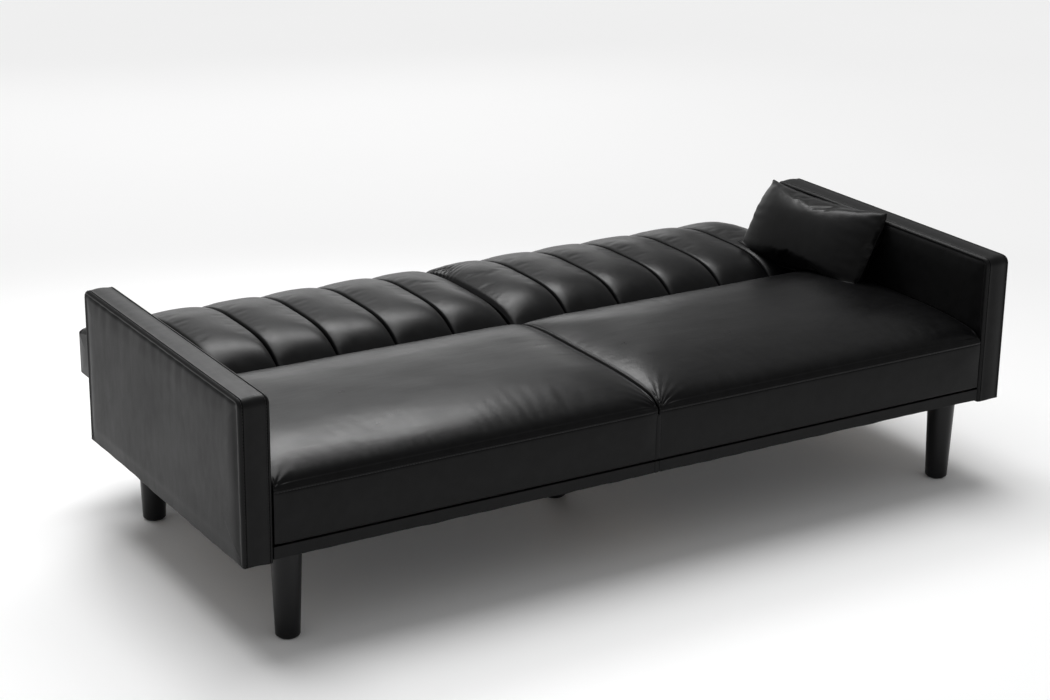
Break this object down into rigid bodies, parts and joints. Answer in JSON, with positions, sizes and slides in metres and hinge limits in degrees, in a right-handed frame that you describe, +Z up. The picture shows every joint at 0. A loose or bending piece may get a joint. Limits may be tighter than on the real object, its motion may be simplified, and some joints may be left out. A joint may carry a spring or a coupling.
{
  "type": "futon sofa bed",
  "caption": "Black faux-leather click-clack futon with box arms, a split channel-tufted back lowered flat as a bed, tapered legs and a lumbar pillow.",
  "frame": {"origin": "on the floor under the middle of the lowered bed's bounding box", "axes": "+X along the sofa's length towards the pillow's arm, +Y from the seat's front towards the back, +Z up from the floor"},
  "size_m": [1.9, 1.011, 0.5451],
  "materials": {
    "leather": "satin",
    "leg": "satin",
    "timber": "matte",
    "plywood": "matte",
    "foam": "matte",
    "non_woven": "matte",
    "black_steel": "satin",
    "zinc_steel": "satin",
    "rubber": "matte"
  },
  "bodies": {
    "base": {"front_rail": "timber", "rear_rail": "timber", "left_end_rail": "timber", "right_end_rail": "timber", "centre_rail": "timber", "seat_front_bar": "timber", "seat_rear_bar": "timber", "seat_left_end_bar": "timber", "seat_right_end_bar": "timber", "seat_centre_bar": "timber", "front_left_leg": "leg", "front_left_leg_plate": "black_steel", "front_right_leg": "leg", "front_right_leg_plate": "black_steel", "rear_left_leg": "leg", "rear_left_leg_plate": "black_steel", "rear_right_leg": "leg", "rear_right_leg_plate": "black_steel", "centre_leg": "leg", "centre_leg_plate": "black_steel", "left_arm_cover": "leather", "left_arm_panel": "timber", "left_arm_bolt_front": "zinc_steel", "left_arm_bolt_rear": "zinc_steel", "seat_springs_left": "zinc_steel", "seat_cover_left": "leather", "seat_foam_left": "foam", "left_inner_hinge_fixed_arm": "black_steel", "left_inner_hinge_rivet": "zinc_steel", "left_outer_hinge_fixed_arm": "black_steel", "left_outer_hinge_rivet": "zinc_steel", "right_arm_cover": "leather", "right_arm_panel": "timber", "right_arm_bolt_front": "zinc_steel", "right_arm_bolt_rear": "zinc_steel", "seat_springs_right": "zinc_steel", "seat_cover_right": "leather", "seat_foam_right": "foam", "right_inner_hinge_fixed_arm": "black_steel", "right_inner_hinge_rivet": "zinc_steel", "right_outer_hinge_fixed_arm": "black_steel", "right_outer_hinge_rivet": "zinc_steel", "base_dust_cover": "non_woven"},
    "back_left": {"back_cover_left": "leather", "back_foam_left": "foam", "back_panel_left": "plywood", "back_dust_cover_left": "non_woven", "back_bumper_left": "rubber", "left_inner_hinge_moving_arm": "black_steel", "left_outer_hinge_moving_arm": "black_steel"},
    "back_right": {"back_cover_right": "leather", "back_foam_right": "foam", "back_panel_right": "plywood", "back_dust_cover_right": "non_woven", "back_bumper_right": "rubber", "right_inner_hinge_moving_arm": "black_steel", "right_outer_hinge_moving_arm": "black_steel"},
    "pillow": {"lumbar_pillow": "leather"}
  },
  "joints": [
    {"name": "back_left_recline", "type": "hinge", "parent": "base", "child": "back_left", "pos_m": [0, 0.0765, 0.338], "axis": [1, 0, 0], "range_deg": [0, 75]},
    {"name": "back_right_recline", "type": "hinge", "parent": "base", "child": "back_right", "pos_m": [0, 0.0765, 0.338], "axis": [1, 0, 0], "range_deg": [0, 75], "deforming": ["lumbar_pillow"]},
    {"name": "pillow_shift", "type": "slide", "parent": "base", "child": "pillow", "axis": [0, -0.9991, 0.0416], "range_m": [0, 0.2412]}
  ],
  "couplings": [
    {"joint": "pillow_shift", "follows": "back_right_recline", "m_per_rad": 0.18351}
  ]
}
